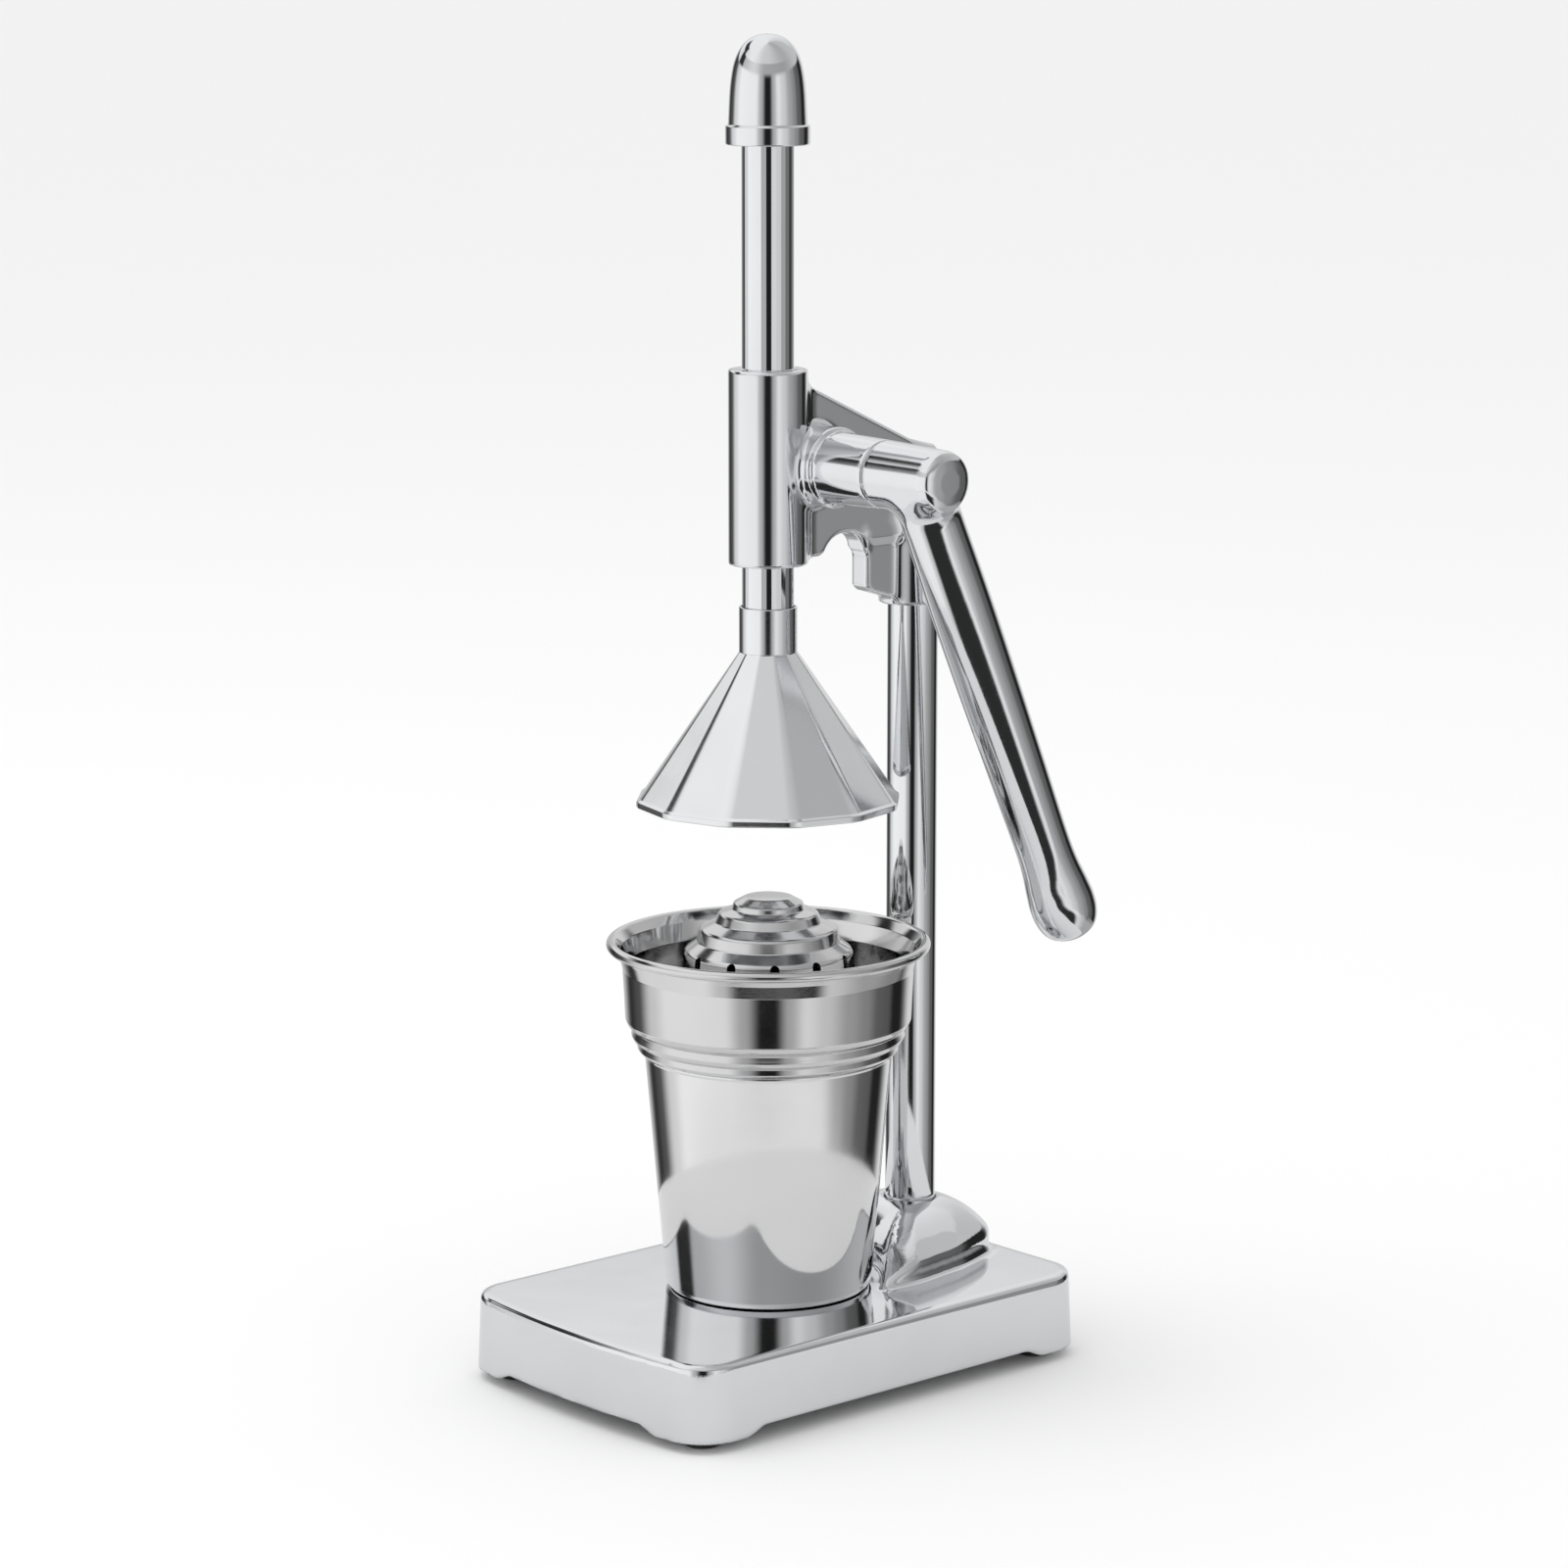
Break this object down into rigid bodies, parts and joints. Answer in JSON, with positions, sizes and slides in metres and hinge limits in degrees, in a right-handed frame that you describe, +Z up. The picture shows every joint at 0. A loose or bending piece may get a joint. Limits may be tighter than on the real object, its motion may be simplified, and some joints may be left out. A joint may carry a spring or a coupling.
{
  "type": "hand lever citrus press",
  "caption": "Upright hand citrus press: a lever and rack-and-pinion drive a bell-shaped press cone down onto a slotted strainer dome over a removable cup, on a flat base with a rear column.",
  "frame": {"origin": "under the middle of the whole press, in the plane that its feet stand on", "axes": "+Z up along the ram; -Y is the user's side where the cup goes in; +Y is the column's side; +X is the side of the shaft's barrel and the lever"},
  "size_m": [0.124, 0.1707, 0.417],
  "materials": {
    "chromed_casting": "polished chrome on a casting, slightly wavy",
    "chrome_bar": "hard chrome on ground bar, mirror",
    "chromed_lever": "polished chrome on a casting, handled",
    "polished_aluminium": "polished casting with flat flutes",
    "polished_steel": "polished drawn stainless steel",
    "strainer_steel": "polished pressed stainless steel",
    "plain_steel": "machined steel",
    "foot_rubber": "matt moulded rubber"
  },
  "bodies": {
    "stand": {"base": "chromed_casting", "column": "chrome_bar", "column_washer": "plain_steel", "column_nut": "plain_steel", "column_set_screw": "plain_steel", "head_casting": "chromed_casting", "housing_plug": "plain_steel", "foot_front_right": "foot_rubber", "foot_front_left": "foot_rubber", "foot_rear_right": "foot_rubber", "foot_rear_left": "foot_rubber", "foot_screw_front_right": "plain_steel", "foot_screw_front_left": "plain_steel", "foot_screw_rear_right": "plain_steel", "foot_screw_rear_left": "plain_steel"},
    "lever_and_shaft": {"lever": "chromed_lever", "pinion_shaft": "plain_steel", "hub_grub_screw": "plain_steel", "shaft_washer": "plain_steel", "shaft_end_screw": "plain_steel"},
    "ram": {"ram_rack": "chrome_bar", "ram_cap": "chrome_bar", "press_cone": "polished_aluminium", "cone_screw": "plain_steel"},
    "cup_and_strainer": {"juice_cup": "polished_steel", "strainer_bowl": "polished_steel", "strainer_dome": "strainer_steel", "strainer_flange": "strainer_steel"}
  },
  "joints": [
    {"name": "lever_turn", "type": "hinge", "parent": "stand", "child": "lever_and_shaft", "pos_m": [-0.004, 0.01112, 0.2859], "axis": [1, 0, 0], "range_deg": [-10, 284]},
    {"name": "ram_slide", "type": "slide", "parent": "stand", "child": "ram", "axis": [0, 0, -1], "range_m": [-0.0019, 0.0521]},
    {"name": "cup_slide", "type": "slide", "parent": "stand", "child": "cup_and_strainer", "axis": [0, -1, 0], "range_m": [0, 0.12]}
  ],
  "couplings": [
    {"joint": "ram_slide", "follows": "lever_turn", "m_per_rad": 0.0105}
  ]
}
